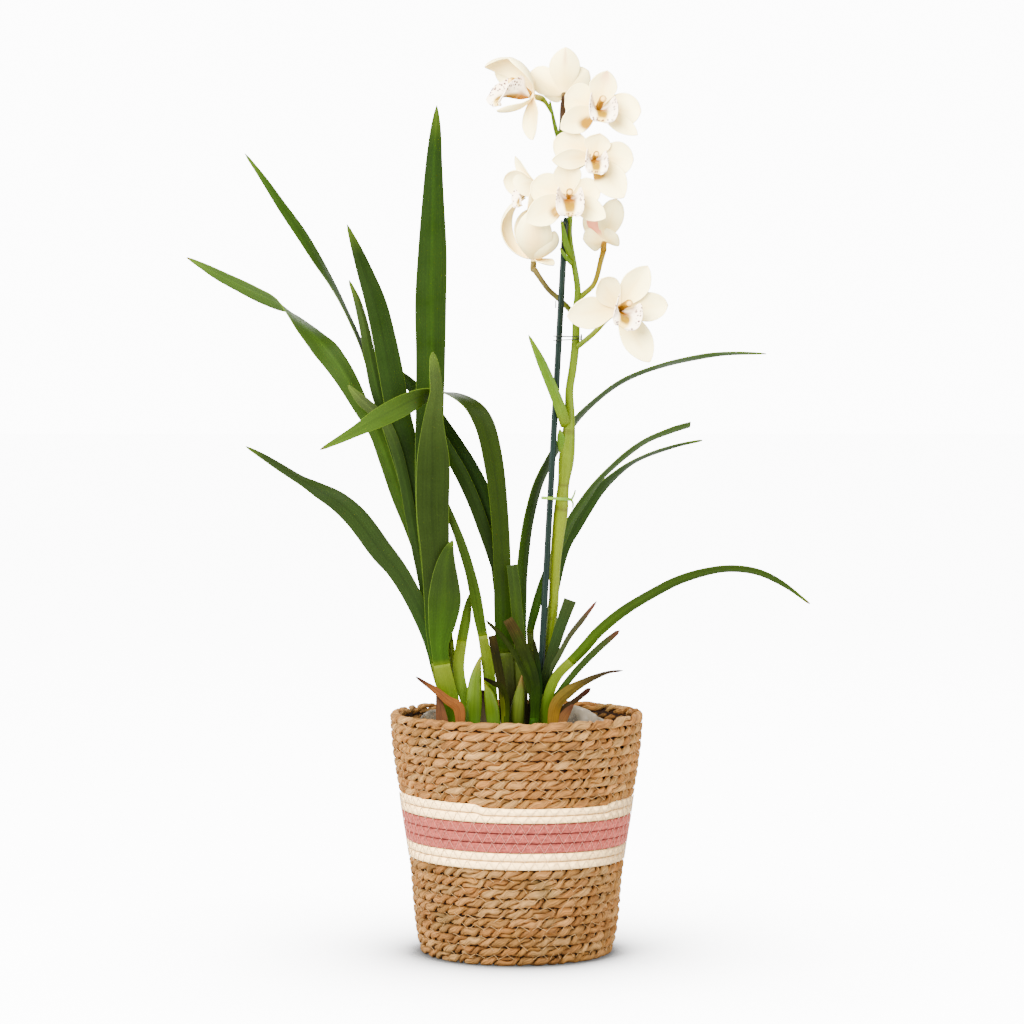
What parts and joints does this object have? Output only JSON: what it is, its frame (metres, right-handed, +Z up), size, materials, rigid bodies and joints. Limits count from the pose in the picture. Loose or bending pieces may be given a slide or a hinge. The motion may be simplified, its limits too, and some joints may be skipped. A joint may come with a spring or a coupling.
{
  "type": "potted cymbidium orchid in a seagrass basket",
  "caption": "Ivory cymbidium orchid in bloom, with arching strap leaves and a staked flower spike, in a round coiled seagrass basket with cream and pink bands.",
  "frame": {"origin": "centre of the basket's flat underside, which rests on the ground", "axes": "+Z up along the basket's axis; +X to the right and -Y towards the viewer, as in the picture; the broad leaf fan is on the -X side"},
  "size_m": [0.4716, 0.191, 0.6812],
  "materials": {
    "seagrass": "twisted seagrass rope, rough and fibrous",
    "cream_fibre": "bleached fibre cord, matt",
    "pink_fibre": "dyed fibre cord, matt",
    "liner_film": "thin clear film, creased",
    "pot_plastic": "thin dark moulded plastic",
    "bark": "coarse bark mix, moist",
    "cane": "smooth dark green",
    "raffia": "flat dry strip",
    "wire": "dark coated wire",
    "leaf": "leathery strap leaf, satin",
    "sheath": "yellow green leaf base, satin",
    "dry_stub": "cut and dried leaf stub, dull",
    "dry_bract": "papery dry bract",
    "tepal": "ivory petal, soft and translucent",
    "lip": "white lip with yellow callus, orange column and dull pink spots",
    "stalk": "yellow green stalk, satin"
  },
  "bodies": {
    "root": {"basket_lower_coils": "seagrass", "basket_cream_band_lower": "cream_fibre", "basket_pink_band": "pink_fibre", "basket_cream_band_upper": "cream_fibre", "basket_upper_coils": "seagrass", "liner": "liner_film", "nursery_pot": "pot_plastic", "bark_mix": "bark", "support_cane": "cane", "leaf_a7": "leaf", "leaf_a6": "leaf", "leaf_a5": "leaf", "leaf_a9": "leaf", "leaf_a8": "leaf", "leaf_a3": "leaf", "leaf_a4": "leaf", "leaf_a2": "leaf", "leaf_a1": "leaf", "leaf_b12": "leaf", "leaf_b13": "leaf", "leaf_c10": "leaf", "leaf_ca": "leaf", "leaf_cb": "leaf", "leaf_c14": "leaf", "leaf_c15": "leaf", "leaf_c16": "leaf", "leaf_c17": "leaf", "leaf_d18": "leaf", "shoot_left": "sheath", "shoot_middle": "sheath", "shoot_centre": "sheath", "shoot_right": "sheath", "leaf_d19_cut_leaves": "leaf", "cut_stub_left": "dry_stub", "cut_stubs_centre": "dry_stub", "dry_bracts_left": "dry_bract", "dry_bracts_right": "dry_bract", "leaf_d21_narrow": "leaf", "flower_1_tepals": "tepal", "flower_1_lip": "lip", "flower_2_tepals": "tepal", "flower_2_lip": "lip", "flower_3_tepals": "tepal", "flower_3_lip": "lip", "flower_4_tepals": "tepal", "flower_4_lip": "lip", "flower_5_tepals": "tepal", "flower_5_lip": "lip", "flower_6_tepals": "tepal", "flower_6_lip": "lip", "flower_7_tepals": "tepal", "flower_7_lip": "lip", "flower_8_tepals": "tepal", "flower_8_lip": "lip", "flower_9_tepals": "tepal", "flower_9_lip": "lip", "flower_spike": "stalk", "raffia_tie": "raffia", "wire_tie": "wire"}
  },
  "joints": []
}
